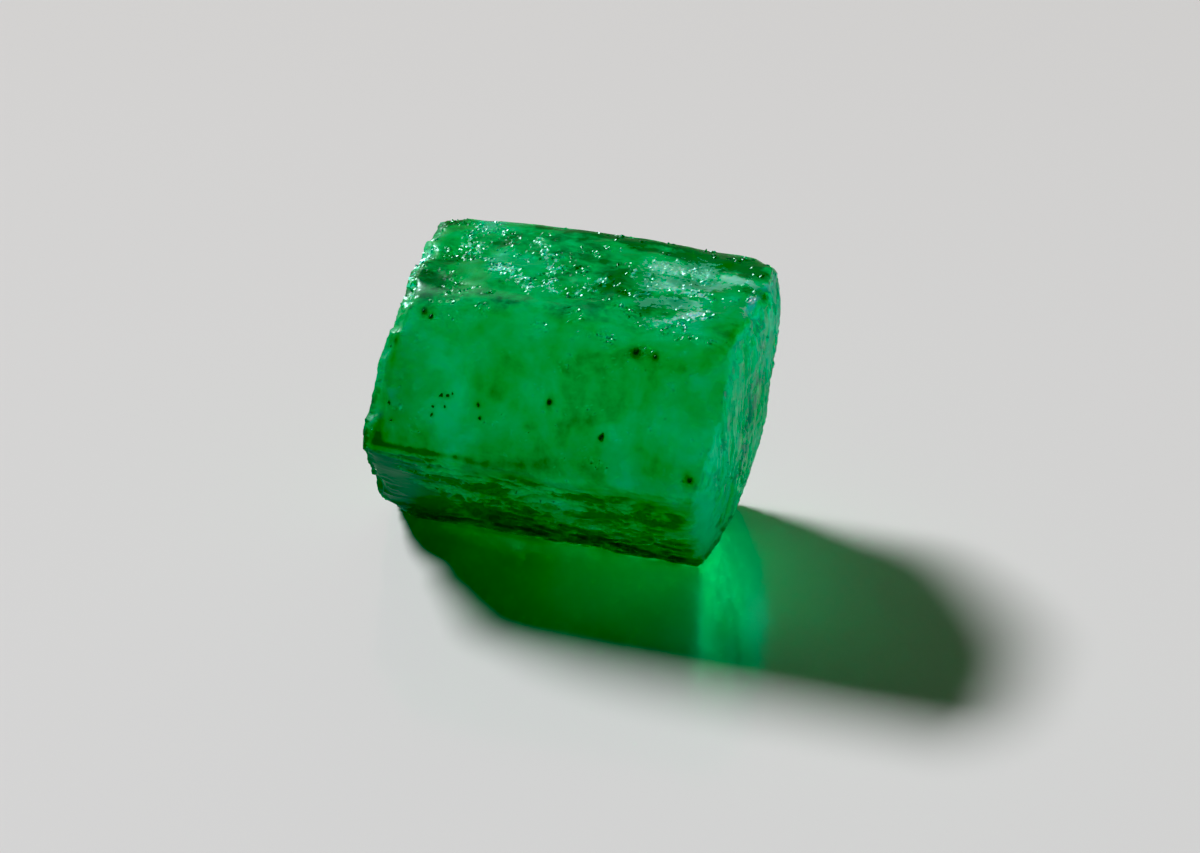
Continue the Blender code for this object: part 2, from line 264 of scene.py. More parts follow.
@dataclass(frozen=True)
class Relief:
    """The fine relief and the wear of one side. It swings about the solid's own surface.

    A stretch draws a pattern out along each axis. A fleck is a small pale bruise, whose paleness is partly
    painted glint.

    Attributes:
        rise: How far the whole side is moved out.
        ridge_gain: How soon the hollows between the ridges reach their full depth.
        ridge_middle: The share of that depth which lies level with the solid's surface.
        flecks: The share of the side that holds flecks, away from the strokes.
        fleck_least: The share under which there are none.
        fleck_gain: How strongly the share makes flecks.
        fleck_rim: Where a fleck starts in its noise, and where it is full.
        chips: The share of a fleck's faces that are turned to glint.
        gather: How far the side's own flecks keep to clusters, from 0 to 1.
        cluster_full: Where a cluster is full in its noise.
        tone: How pale the side's stone is, below 0 where it is darker.
        fibre_and_hollow_shade: How much darker the sunk parts are: painted shade in the hollows, which also
            draws the fibres.
        hollow_shade_middle: The share of a hollow's depth that is neither darker nor paler.
        fine: Whether the side's faces are split once more.
    """

    rise: float = 0.0
    grain_depth: float = 0.015 * MM
    grain_size: float = 0.5 * MM
    ridge_depth: float = 0.0
    ridge_size: float = 0.5 * MM
    ridge_bend: float = 0.7
    ridge_bend_scale: float = 0.6
    ridge_gain: float = 1.6
    ridge_middle: float = 0.5
    stretch: Triple = (3.0, 1.0, 1.0)
    roughness: float = 0.55
    flecks: float = 0.0
    fleck_size: float = 0.12 * MM
    fleck_stretch: Triple = (1.0, 1.0, 1.0)
    fleck_least: float = 0.02
    fleck_gain: float = 1.2
    fleck_rim: tuple[float, float] = (0.45, 0.8)
    chips: float = 0.4
    gather: float = 0.0
    cluster_size: float = 0.7 * MM
    cluster_stretch: Triple = (1.7, 1.0, 1.0)
    cluster_full: float = 0.5
    tone: float = 0.0
    fibre_and_hollow_shade: float = 0.0
    hollow_shade_middle: float = 0.45
    fine: bool = False

    def cluster(self, place: Vector) -> float:
        """How closely the side's own flecks stand at a point, from 0 to 1."""
        drawn = shrunk(place, self.cluster_stretch) / self.cluster_size
        return 1 - self.gather * (1 - ease(SOFT.at(drawn), 0.0, self.cluster_full))

    def bruise(self, place: Vector, marked: float) -> float:
        """How bruised a point is.

        Args:
            place: A point of the solid's surface.
            marked: What the strokes add to the share of places that hold a fleck.

        Returns:
            0 beside the flecks and 1 on one.
        """
        share = marked + self.flecks * self.cluster(place)
        if share < self.fleck_least:
            return 0.0
        drawn = shrunk(place, self.fleck_stretch) / self.fleck_size
        return ease(SPOTTED.at(drawn) + self.fleck_gain * share, *self.fleck_rim)

    def ridges(self, place: Vector) -> float:
        """How deep a point lies between the ridges.

        Args:
            place: A point of the solid's surface.

        Returns:
            0 on a ridge and 1 in the deepest places.
        """
        drawn = shrunk(place, self.stretch) / self.ridge_size
        bent = drawn + self.ridge_bend * noise.noise_vector(drawn * self.ridge_bend_scale)
        ridge = 1 - abs(CREASED.at(bent))
        return clamp(self.ridge_gain * (1 - ridge * ridge))

    def depth(self, place: Vector, calm: float) -> float:
        """How far a point of the surface sinks or rises, flecks left aside.

        Args:
            place: A point of the solid's surface.
            calm: How smooth the stone is there, from 0 to 1.

        Returns:
            The depth in metres, below 0 where the surface rises.
        """
        grain = SOFT.at(shrunk(place, self.stretch) / self.grain_size)
        sunk = self.grain_depth / 2 * grain - self.rise
        if self.ridge_depth:
            sunk += self.ridge_depth * (1 - calm) * (self.ridges(place) - self.ridge_middle)
        return sunk

    def shade(self, place: Vector, calm: float) -> float:
        """The stone's tone at a point, with painted shade in the hollows between the ridges.

        Args:
            place: A point of the solid's surface.
            calm: How smooth the stone is there, from 0 to 1.

        Returns:
            The tone, below 0 where the stone is darker.
        """
        if not self.fibre_and_hollow_shade:
            return self.tone
        # Painted shade: the sunk parts between the ridges are darker.
        return self.tone + self.fibre_and_hollow_shade * (1 - calm) * (self.hollow_shade_middle - self.ridges(place))


Parts = list[tuple[Relief, float]]

RELIEFS: dict[Side, Relief] = {
    Side.LOWER_BACK: Relief(
        grain_depth=0.05 * MM, ridge_depth=0.06 * MM, roughness=0.7, flecks=0.15, chips=0.1, gather=0.8,
        tone=0.05, fibre_and_hollow_shade=0.4,
    ),
    Side.UPPER_BACK: Relief(
        rise=0.04 * MM, grain_depth=0.04 * MM, roughness=0.7, flecks=0.15, chips=0.1, gather=0.9
    ),
    Side.TOP: Relief(
        rise=0.04 * MM, grain_depth=0.03 * MM, grain_size=0.7 * MM, stretch=(2.0, 1.0, 1.0),
        roughness=0.31, flecks=0.26, chips=0.62, fleck_stretch=(1.4, 1.0, 1.0), gather=1.0, tone=-0.5,
        fibre_and_hollow_shade=0.35, fine=True,
    ),
    Side.UPPER_FRONT: Relief(
        grain_depth=0.02 * MM, grain_size=0.8 * MM, ridge_size=0.8 * MM, roughness=0.7, flecks=0.08,
        gather=1.0, tone=-0.11, fibre_and_hollow_shade=0.1, fine=True,
    ),
    # The lower front's darker tone is painted shade on the side that looks down at the floor.
    Side.LOWER_FRONT: Relief(
        grain_depth=0.03 * MM, ridge_depth=0.10 * MM, stretch=(2.4, 1.0, 1.0),
        roughness=0.5, flecks=0.08, gather=1.0, tone=-0.5, fibre_and_hollow_shade=0.7, fine=True,
    ),
    # The right end's flecks turn no faces and only paint glints into its tone, and its pale tone is partly
    # painted reflection.
    Side.RIGHT_END: Relief(
        rise=-0.08 * MM, grain_depth=0.03 * MM, ridge_depth=0.09 * MM, ridge_size=0.3 * MM,
        stretch=(1.0, 1.0, 11.0), roughness=0.32, flecks=0.22, fleck_stretch=(1.0, 1.0, 3.0), chips=0.0,
        gather=1.0, tone=0.5, fibre_and_hollow_shade=1.0, fine=True,
    ),
    Side.LEFT_END: Relief(
        rise=0.15 * MM, grain_depth=0.04 * MM, ridge_depth=0.06 * MM, stretch=(1.0, 1.5, 1.5),
        roughness=0.7, flecks=0.05, chips=0.0, gather=0.7, tone=-0.6,
    ),
}

TONES: StrokeTable = {
    "pale windows of the upper front": (
        Stroke((430, 425), (490, 430), 28, 0.45), Stroke((408, 318), (520, 325), 22, 0.3),
        Stroke((640, 380), (690, 450), 36, 0.1), Stroke((620, 300), (660, 330), 18, 0.3),
        Stroke((500, 472), (560, 484), 9, 0.35), Stroke((690, 322), (742, 320), 16, 0.5),
        Stroke((700, 385), (712, 415), 14, 0.5), Stroke((740, 345), (722, 440), 14, 0.5),
        Stroke((722, 440), (702, 530), 12, 0.4),
    ),
    "dark clouds of the upper front": (
        Stroke((560, 316), (585, 322), 13, -0.45), Stroke((625, 350), (665, 358), 9, -0.3),
        Stroke((500, 386), (512, 390), 15, -0.2), Stroke((570, 440), (585, 455), 26, -0.55),
        Stroke((545, 468), (562, 476), 15, -0.5), Stroke((605, 472), (660, 482), 16, -0.2),
        Stroke((688, 478), (690, 484), 7, -0.6),
    ),
    "dark line along the front edge": (
        Stroke((375, 442), (410, 450), 3, -0.85), Stroke((410, 450), (455, 457), 3, -0.85),
        Stroke((455, 457), (485, 465), 4, -0.5), Stroke((485, 465), (545, 472), 6, -0.1),
    ),
    "pale streaks of the right end": (
        Stroke((768, 286), (746, 312), 3, 1.4), Stroke((746, 312), (736, 350), 3, 1.3),
        Stroke((738, 362), (726, 398), 3, 1.1), Stroke((733, 420), (716, 480), 3, 1.1),
        Stroke((768, 340), (746, 420), 5, 0.8), Stroke((780, 312), (776, 340), 3, 0.9),
    ),
    # Painted highlights: thin bright strokes that stand in for the glints on the right end.
    "painted glints of the right end": (
        Stroke((767, 332), (762, 372), 2, 1.6), Stroke((744, 372), (742, 390), 2.5, 1.6),
        Stroke((753, 425), (745, 455), 2, 1.6), Stroke((742, 458), (738, 472), 2, 1.3),
        Stroke((752, 300), (751, 306), 3, 1.3), Stroke((757, 318), (753, 335), 2, 1.3),
    ),
    # Painted shade on the left of the lower front, which looks down at the floor.
    "painted shade on the lower front's root": (
        Stroke((380, 468), (425, 500), 28, -1.3),
    ),
    "dark patches of the lower front": (
        Stroke((442, 496), (480, 512), 19, -1.05), Stroke((425, 478), (500, 492), 10, -0.7),
        Stroke((557, 496), (625, 500), 9, -0.7), Stroke((612, 514), (676, 526), 10, -0.7),
        Stroke((590, 538), (630, 546), 9, -0.6), Stroke((635, 552), (680, 560), 6, -0.6),
    ),
    # Pale fibres of the lower front. The last stroke is painted light where light leaves the stone at its
    # low right corner.
    "pale fibres and painted light of the lower front": (
        Stroke((620, 482), (670, 500), 16, 0.5), Stroke((490, 527), (556, 540), 4, 0.7),
        Stroke((656, 552), (664, 558), 6, 0.9), Stroke((702, 525), (712, 548), 13, 1.6),
    ),
    # Painted shade along the top's back edge, where the stone turns away from the view.
    "painted shade along the top's back edge": (
        Stroke((541, 228), (608, 237), 7, -0.9), Stroke((608, 237), (720, 256), 7, -1.1),
        Stroke((720, 256), (762, 266), 5, -1.0),
    ),
    # Painted shade in a band in front of the top's back edge.
    "painted shaded band in front of it": (
        Stroke((560, 238), (690, 258), 11, -0.6), Stroke((560, 253), (600, 262), 7, -0.4),
    ),
    "dark left edge": (
        Stroke((410, 308), (396, 340), 4, -0.6), Stroke((396, 340), (377, 435), 5, -0.6),
    ),
    "pale and dark corner of the top": (
        Stroke((700, 306), (734, 300), 11, 0.8), Stroke((728, 278), (756, 286), 9, 1.2),
        Stroke((764, 296), (778, 308), 8, -0.8),
    ),
    "pale left part of the top": (
        Stroke((480, 240), (540, 290), 26, 0.25),
    ),
    "frosted patch of the top": (
        Stroke((662, 268), (705, 278), 11, 0.9), Stroke((668, 288), (702, 296), 9, 0.9),
        Stroke((655, 325), (708, 312), 4, 1.0),
    ),
}
CALMS: StrokeTable = {
    "smooth root of the lower front": (
        Stroke((380, 462), (425, 500), 30, 1.0),
    ),
    "smooth strip under the front edge": (
        Stroke((470, 470), (560, 482), 12, 1.0), Stroke((560, 482), (700, 505), 14, 0.9),
        Stroke((700, 505), (710, 550), 14, 0.8),
    ),
}
VEILS: StrokeTable = {
    "frosted patch of the top": (
        Stroke((656, 268), (706, 270), 15, 0.95), Stroke((652, 286), (712, 284), 15, 0.95),
        Stroke((648, 302), (692, 304), 12, 0.85), Stroke((654, 324), (700, 314), 8, 0.6),
    ),
    "pale corner of the top": (
        Stroke((732, 279), (756, 287), 7, 0.8), Stroke((708, 290), (732, 286), 9, 0.55),
    ),
    "pale streaks of the right end": (
        Stroke((768, 286), (746, 312), 3.5, 0.7), Stroke((746, 312), (737, 350), 3.5, 0.6),
        Stroke((738, 362), (726, 398), 3.5, 0.5), Stroke((733, 420), (716, 480), 3.5, 0.5),
        Stroke((768, 345), (752, 420), 5, 0.55), Stroke((781, 312), (776, 345), 3, 0.6),
        Stroke((748, 440), (738, 500), 4, 0.4), Stroke((764, 330), (742, 470), 14, 0.5),
    ),
    "left rim": (
        Stroke((412, 285), (427, 258), 4, 0.6), Stroke((410, 302), (415, 288), 4, 0.5),
    ),
    "bruises of the top": (
        Stroke((468, 240), (478, 250), 8, 0.45), Stroke((540, 240), (548, 256), 8, 0.5),
        Stroke((502, 267), (530, 288), 9, 0.45), Stroke((556, 262), (552, 290), 6, 0.35),
        Stroke((584, 290), (606, 281), 8, 0.4),
    ),
}
SPARKLES: StrokeTable = {
    "left half of the top": (
        Stroke((470, 236), (478, 250), 8, 0.55), Stroke((502, 267), (530, 288), 8, 0.55),
        Stroke((480, 258), (498, 266), 5, 0.4), Stroke((433, 251), (446, 251), 4, 0.5),
        Stroke((465, 259), (470, 261), 5, 0.5), Stroke((448, 276), (456, 283), 6, 0.35),
        Stroke((500, 227), (511, 240), 5, 0.35), Stroke((478, 225), (484, 232), 5, 0.3),
    ),
    "middle of the top": (
        Stroke((540, 238), (548, 258), 8, 0.5), Stroke((556, 256), (550, 292), 5, 0.35),
        Stroke((574, 262), (584, 278), 6, 0.35), Stroke((584, 292), (608, 280), 8, 0.3),
        Stroke((593, 253), (599, 258), 2, 0.7), Stroke((606, 247), (609, 251), 2, 0.7),
        Stroke((581, 250), (584, 253), 2, 0.7), Stroke((650, 294), (656, 280), 4, 0.4),
    ),
    "frosted patch of the top": (
        Stroke((662, 268), (705, 278), 12, 0.45), Stroke((668, 288), (702, 296), 9, 0.4),
        Stroke((662, 330), (708, 314), 4, 0.35),
    ),
    "left rim": (
        Stroke((412, 285), (427, 258), 6, 0.6), Stroke((410, 302), (415, 288), 5, 0.5),
    ),
    "worn edge under the top": (
        Stroke((478, 306), (487, 311), 4, 0.45), Stroke((538, 322), (544, 328), 4, 0.4),
        Stroke((602, 334), (611, 342), 5, 0.4), Stroke((640, 349), (650, 352), 4, 0.3),
    ),
    "root of the lower front": (
        Stroke((404, 466), (425, 475), 4, 0.35), Stroke((381, 466), (384, 468), 2, 0.7),
    ),
    # On the right end these sparkles turn no faces and only paint glints into the tone.
    "right end": (
        Stroke((772, 300), (764, 370), 3, 0.5), Stroke((754, 426), (741, 470), 3, 0.5),
        Stroke((746, 378), (742, 388), 3, 0.5), Stroke((759, 386), (758, 412), 3, 0.4),
        Stroke((750, 300), (751, 303), 4, 0.7), Stroke((721, 480), (722, 496), 3, 0.4),
    ),
}
SPECKS: SpotTable = {
    "pair near the left end of the front": (
        Spot((424, 311), 8), Spot((430, 316), 6),
    ),
    "cluster in the front's left window": (
        Spot((441, 395), 4), Spot((447, 396), 4),
        Spot((453, 394), 3), Spot((433, 406), 3),
        Spot((432, 415), 4), Spot((445, 407), 2.5),
    ),
    "pair beside the cluster": (
        Spot((478, 405), 4), Spot((480, 418), 4),
    ),
    "lone ones in the middle of the front": (
        Spot((550, 402), 7), Spot((602, 437), 7),
    ),
    "left edge": (
        Spot((389, 402), 4), Spot((391, 420), 3),
        Spot((391, 346), 3),
    ),
    "pair under the worn edge": (
        Spot((635, 352), 7), Spot((655, 357), 4),
    ),
    "top": (
        Spot((500, 282), 4, -0.02 * MM), Spot((648, 294), 6, -0.02 * MM),
        Spot((640, 250), 4, -0.02 * MM), Spot((668, 255), 5, -0.02 * MM),
        Spot((688, 252), 3, -0.02 * MM),
    ),
    "low right of the front": (
        Spot((689, 480), 6, -0.02 * MM),
    ),
}
CLOUDS: SpotTable = {
    "upper front": (
        Spot((568, 322), 40, 0.15 * MM), Spot((500, 388), 34, 0.15 * MM),
        Spot((550, 403), 20, 0.10 * MM), Spot((602, 437), 26, 0.12 * MM),
        Spot((578, 448), 60, 0.25 * MM), Spot((425, 313), 22, 0.10 * MM),
        Spot((648, 355), 34, 0.12 * MM), Spot((690, 481), 24, 0.12 * MM),
    ),
    "lower front": (
        Spot((590, 500), 50, 0.25 * MM), Spot((650, 522), 60, 0.25 * MM),
        Spot((485, 500), 50, 0.25 * MM),
    ),
    "top": (
        Spot((640, 250), 40, 0.3 * MM),
    ),
}


def strengths(strokes: StrokeTable, view: View, places: np.ndarray) -> np.ndarray:
    """The joined strength of all the strokes of a table at many points."""
    return sum(stroke.values(view, places) for group in strokes.values() for stroke in group)


def fill(node: bpy.types.Node, values: dict[str, object]) -> None:
    """Gives a node's inputs their values, by name."""
    for name, value in values.items():
        node.inputs[name].default_value = value


def new_material(name: str, values: dict[str, object]) -> bpy.types.Material:
    """Makes a material.

    Args:
        name: Its name.
        values: What its shader's inputs are given.

    Returns:
        The material.
    """
    material = bpy.data.materials.new(name)
    material.use_nodes = True
    fill(material.node_tree.nodes["Principled BSDF"], values)
    return material


def take_in_light(material: bpy.types.Material, colour: Colour, density: float) -> None:
    """Makes the inside of a material absorb light.

    Args:
        material: The material.
        colour: The colour of the light that is left.
        density: How strongly it absorbs.
    """
    nodes, links = material.node_tree.nodes, material.node_tree.links
    absorb = nodes.new("ShaderNodeVolumeAbsorption")
    fill(absorb, {"Color": colour, "Density": density})
    links.new(absorb.outputs["Volume"], nodes["Material Output"].inputs["Volume"])


@dataclass(frozen=True)
class Mottle:
    """The pattern of the stone's soft clouds: broad ones, with a share of finer ones over them.

    Its contrast is raised by gain and offset.
    """

    name: str = "mottle"
    broad_scale: float = 520.0
    broad_detail: float = 5.0
    broad_bend: float = 0.4
    fine_scale: float = 2200.0
    fine_detail: float = 4.0
    fine_share: float = 0.22
    gain: float = 2.3
    offset: float = -0.65

    def group(self) -> bpy.types.NodeTree:
        """The node group of the pattern, made when it is first asked for.

        Returns:
            The group, with a Vector input and a Fac output that lies about 0.5.
        """
        made = bpy.data.node_groups.get(self.name)
        if made:
            return made
        tree = bpy.data.node_groups.new(self.name, "ShaderNodeTree")
        tree.interface.new_socket("Vector", in_out="INPUT", socket_type="NodeSocketVector")
        tree.interface.new_socket("Fac", in_out="OUTPUT", socket_type="NodeSocketFloat")
        nodes, links = tree.nodes, tree.links
        inlet = nodes.new("NodeGroupInput")
        outlet = nodes.new("NodeGroupOutput")
        broad = nodes.new("ShaderNodeTexNoise")
        fill(broad, {"Scale": self.broad_scale, "Detail": self.broad_detail, "Distortion": self.broad_bend})
        fine = nodes.new("ShaderNodeTexNoise")
        fill(fine, {"Scale": self.fine_scale, "Detail": self.fine_detail})
        blend = nodes.new("ShaderNodeMix")
        blend.inputs["Factor"].default_value = self.fine_share
        for clouds, socket in ((broad, "A"), (fine, "B")):
            links.new(inlet.outputs["Vector"], clouds.inputs["Vector"])
            links.new(clouds.outputs["Fac"], blend.inputs[socket])
        contrast = nodes.new("ShaderNodeMath")
        contrast.operation = "MULTIPLY_ADD"
        contrast.inputs[1].default_value = self.gain
        contrast.inputs[2].default_value = self.offset
        links.new(blend.outputs["Result"], contrast.inputs[0])
        links.new(contrast.outputs["Value"], outlet.inputs["Fac"])
        return tree


@dataclass(frozen=True)
class StoneFinish:
    """Cloudy see-through green stone. Its darker parts lose blue before green.

    Attributes:
        shadow: The darkest of its colours, which run on through dim, body and pale to frost.
        stops: Where dim, body and pale stand between the darkest and the palest.
        tone_share: How strongly the skin's tone counts beside the clouds.
        shine: The tint of what the surface mirrors.
        scatter_radius: How far each colour of light spreads inside, as a share of scatter_scale.
        scatter_lean: How far the light inside keeps its way.
        let_through: The colour of the light that is left on its way through the stone.
    """

    name: str = "emerald_stone"
    shadow: Colour = (0.0, 0.08, 0.0005, 1)
    dim: Colour = (0.0, 0.55, 0.08, 1)
    body: Colour = (0.0, 0.72, 0.29, 1)
    pale: Colour = (0.12, 0.93, 0.70, 1)
    frost: Colour = (0.50, 1.0, 0.88, 1)
    stops: Triple = (0.28, 0.55, 0.8)
    tone_share: float = 0.5
    shine: Colour = (0.05, 0.50, 0.36, 1)
    transmission: float = 0.87
    scatter_radius: Triple = (0.1, 1.0, 0.6)
    scatter_scale: float = 6.0 * MM
    scatter_lean: float = 0.6
    ior: float = 1.577
    let_through: Colour = (0.0, 0.90, 0.55, 1)
    density: float = 155.0
    grain_scale: float = 9000.0
    grain_detail: float = 3.0
    grain_height: float = 0.004 * MM

    def material(self) -> bpy.types.Material:
        """Makes the stone's material.

        Returns:
            The material.
        """
        shader_values = {
            "Transmission Weight": self.transmission, "IOR": self.ior, "Specular Tint": self.shine,
            "Subsurface Weight": 1.0, "Subsurface Radius": self.scatter_radius,
            "Subsurface Scale": self.scatter_scale, "Subsurface Anisotropy": self.scatter_lean,
        }
        material = new_material(self.name, shader_values)
        nodes, links = material.node_tree.nodes, material.node_tree.links
        shader = nodes["Principled BSDF"]
        place = nodes.new("ShaderNodeTexCoord").outputs["Object"]
        links.new(self.colours(material, place), shader.inputs["Base Color"])
        wear = nodes.new("ShaderNodeAttribute")
        wear.attribute_name = "wear"
        links.new(wear.outputs["Fac"], shader.inputs["Roughness"])
        grain = nodes.new("ShaderNodeTexNoise")
        fill(grain, {"Scale": self.grain_scale, "Detail": self.grain_detail})
        links.new(place, grain.inputs["Vector"])
        bump = nodes.new("ShaderNodeBump")
        bump.inputs["Distance"].default_value = self.grain_height
        links.new(grain.outputs["Fac"], bump.inputs["Height"])
        links.new(bump.outputs["Normal"], shader.inputs["Normal"])
        take_in_light(material, self.let_through, self.density)
        return material

    def colours(self, material: bpy.types.Material, place: bpy.types.NodeSocket) -> bpy.types.NodeSocket:
        """Makes the nodes of the stone's colours, from its clouds and from the skin's tone.

        Args:
            material: The material that takes the nodes.
            place: What says where a point is.

        Returns:
            The output with the colour.
        """
        nodes, links = material.node_tree.nodes, material.node_tree.links
        clouds = nodes.new("ShaderNodeGroup")
        clouds.node_tree = Mottle().group()
        links.new(place, clouds.inputs["Vector"])
        tone = nodes.new("ShaderNodeAttribute")
        tone.attribute_name = "tone"
        mixed = nodes.new("ShaderNodeMath")
        mixed.operation = "MULTIPLY_ADD"
        mixed.inputs[1].default_value = self.tone_share
        links.new(tone.outputs["Fac"], mixed.inputs[0])
        links.new(clouds.outputs["Fac"], mixed.inputs[2])
        scale = nodes.new("ShaderNodeValToRGB")
        ramp = scale.color_ramp
        ramp.elements[0].position = 0.0
        ramp.elements[0].color = self.shadow
        ramp.elements[1].position = 1.0
        ramp.elements[1].color = self.frost
        for stop, colour in zip(self.stops, (self.dim, self.body, self.pale)):
            ramp.elements.new(stop).color = colour
        links.new(mixed.outputs["Value"], scale.inputs["Fac"])
        return scale.outputs["Color"]


@dataclass(frozen=True)
class VeilFinish(StoneFinish):
    """The stone's pale frosted veils, which let less light through."""

    name: str = "emerald_veil"
    shadow: Colour = (0.08, 0.50, 0.26, 1)
    dim: Colour = (0.14, 0.68, 0.40, 1)
    body: Colour = (0.26, 0.86, 0.58, 1)
    pale: Colour = (0.36, 0.92, 0.68, 1)
    frost: Colour = (0.46, 0.98, 0.78, 1)
    transmission: float = 0.3
    scatter_scale: float = 3.0 * MM


@dataclass(frozen=True)
class SpeckFinish:
    """What the dark specks inside the stone are made of."""

    colour: Colour = (0.01, 0.07, 0.005, 1)
    roughness: float = 0.7

    def material(self) -> bpy.types.Material:
        """Makes the specks' material."""
        return new_material("dark_speck", {"Base Color": self.colour, "Roughness": self.roughness})


@dataclass(frozen=True)
class CloudFinish:
    """The darker clouds inside the stone: they bend no light, and only absorb more of it."""

    clear: Colour = (1, 1, 1, 1)
    let_through: Colour = (0.0, 0.80, 0.30, 1)
    density: float = 700.0

    def material(self) -> bpy.types.Material:
        """Makes the clouds' material.

        Returns:
            The material.
        """
        shader_values = {"Base Color": self.clear, "Roughness": 0, "Transmission Weight": 1, "IOR": 1.0}
        material = new_material("dark_cloud", shader_values)
        take_in_light(material, self.let_through, self.density)
        return material


@dataclass(frozen=True)
class Marks:
    """The joined strength of each kind of stroke at every point of the skin.

    Attributes:
        tones: How much paler the stone is there.
        calms: How smooth it is.
        sparkles: What is added to the share of places that hold a fleck.
        veils: What is added to the share of places with frosted faces.
    """

    tones: np.ndarray
    calms: np.ndarray
    sparkles: np.ndarray
    veils: np.ndarray


@dataclass
class CrystalSkin:
    """The stone's fine surface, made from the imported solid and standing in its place.

    Attributes:
        worn_edge: The place in Y and Z of the edge between the top and the upper front, which is
            rubbed round within worn_reach. Within worn_core it is dullest.
        flat_below: The height up to which the stone stays flat.
        flat_above: The height from which the relief has its full depth.
        fine_facing: How straight a face looks in a side's direction when it is split.
        share_rim: How straight a point looks that way when the side's share starts, and is full.
        plain_roughness: How dull the stone is where no side has a share.
        jitter: How far a point drifts along the surface, as a share of its shortest edge.
        margin: How far the skin may stand out of the solid's box.
        chip_way: The direction that glinting faces are turned to, give or take chip_spread.
        chip_facing: How straight a face must look that way to be turned.
        halo: How much darker the stone is about a speck, and halo_width how far, as a share of it.
        least_veil: The strength of a veil under which no face is frosted.
    """

    camera: PhotoCamera
    merge_distance: float = 0.001 * MM
    voxel: float = 0.125 * MM
    smoothing: float = 0.5
    smoothings: int = 4
    worn_edge: tuple[float, float] = (-2.57 * MM, 8.3 * MM)
    worn_reach: float = 1.2 * MM
    worn_core: float = 0.3 * MM
    worn_smoothings: int = 80
    worn_roughness: float = 0.8
    flat_below: float = 0.03 * MM
    flat_above: float = 0.25 * MM
    fine_facing: float = 0.8
    share_rim: tuple[float, float] = (0.74, 0.93)
    plain_roughness: float = 0.5
    jitter: float = 0.2
    margin: float = 0.12 * MM
    chip_way: Triple = (-0.346, -0.316, 0.883)
    chip_spread: float = 0.24
    chip_facing: float = 0.55
    chip_roughness: float = 0.28
    # How much paler a bruise is: partly the frosted bruise's own colour, partly painted glint.
    bruise_and_glint_tone: float = 0.5
    halo: float = 0.5
    halo_width: float = 0.9
    least_veil: float = 0.05
    seed: int = 11
    reliefs: dict[Side, Relief] = field(default_factory=lambda: RELIEFS)

    def build(self, solid: bpy.types.Object) -> tuple[bpy.types.Object, View]:
        """Makes the skin.

        Args:
            solid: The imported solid.

        Returns:
            The skin's object, and the view of its surface that places the other pieces.
        """
        mesh = self.remeshed(solid)
        bm = bmesh.new()
        bm.from_mesh(mesh)
        self.soften(bm)
        self.refine(bm)
        bm.normal_update()
        view = View(self.camera, BVHTree.FromBMesh(bm))
        bm.verts.index_update()
        self.carve(bm, view)
        self.keep_inside(bm, *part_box(CRYSTAL_NODE))
        bm.to_mesh(mesh)
        bm.free()
        skin = bpy.data.objects.new("emerald_skin", mesh)
        bpy.context.scene.collection.objects.link(skin)
        return skin, view

    def remeshed(self, solid: bpy.types.Object) -> bpy.types.Mesh:
        """Merges a copy of the solid and gives it even faces.

        Args:
            solid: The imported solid.

        Returns:
            The even mesh.
        """
        copy = solid.data.copy()
        bm = bmesh.new()
        bm.from_mesh(copy)
        bmesh.ops.remove_doubles(bm, verts=bm.verts, dist=self.merge_distance)
        bm.to_mesh(copy)
        bm.free()
        holder = bpy.data.objects.new("skin_source", copy)
        bpy.context.scene.collection.objects.link(holder)
        modifier = holder.modifiers.new("even_faces", "REMESH")
        modifier.mode = "VOXEL"
        modifier.voxel_size = self.voxel
        graph = bpy.context.evaluated_depsgraph_get()
        mesh = bpy.data.meshes.new_from_object(holder.evaluated_get(graph))
        bpy.data.objects.remove(holder)
        mesh.materials.clear()
        return mesh

    def smooth(self, bm: BMesh, verts: list[BMVert], times: int) -> None:
        """Smooths points.

        Args:
            bm: The mesh.
            verts: The points.
            times: How often.
        """
        axes = {"use_axis_x": True, "use_axis_y": True, "use_axis_z": True}
        for _ in range(times):
            bmesh.ops.smooth_vert(bm, verts=verts, factor=self.smoothing, **axes)

    def soften(self, bm: BMesh) -> None:
        """Takes out the voxels' steps and rubs the worn edge round.

        Args:
            bm: The skin.
        """
        bottom = [vert for vert in bm.verts if vert.co.z < self.flat_below]
        free = [vert for vert in bm.verts if vert.co.z >= self.flat_below]
        self.smooth(bm, free, self.smoothings)
        for vert in bottom:
            vert.co.z = 0.0
        worn = [vert for vert in free if self.off_edge(vert) < self.worn_reach]
        self.smooth(bm, worn, self.worn_smoothings)

    def off_edge(self, vert: BMVert) -> float:
        """How far a point is from the worn edge."""
        return (vert.co.yz - Vector(self.worn_edge)).length

    def refine(self, bm: BMesh) -> None:
        """Splits the faces of the sides that carry the finest relief, and makes all triangles.

        Args:
            bm: The skin.
        """
        bm.normal_update()
        ways = [side.normal() for side, relief in self.reliefs.items() if relief.fine]
        fine = {face for face in bm.faces if any(face.normal.dot(way) > self.fine_facing for way in ways)}
        edges = [edge for edge in bm.edges if any(face in fine for face in edge.link_faces)]
        bmesh.ops.subdivide_edges(bm, edges=edges, cuts=1, use_grid_fill=True)
        bmesh.ops.triangulate(bm, faces=bm.faces)

    def shares(self, normal: Vector) -> Parts:
        """The sides' shares in the relief at a point.

        Args:
            normal: The surface's direction there.

        Returns:
            The relief of each side that has a share, with that share.
        """
        found = []
        for side, relief in self.reliefs.items():
            share = ease(normal.dot(side.normal()), *self.share_rim)
            if share > 0:
                found.append((relief, share))
        return found

    def main_relief(self, normal: Vector) -> Relief:
        """The relief of the side that a direction is nearest to."""
        return max(self.reliefs.items(), key=lambda item: normal.dot(item[0].normal()))[1]

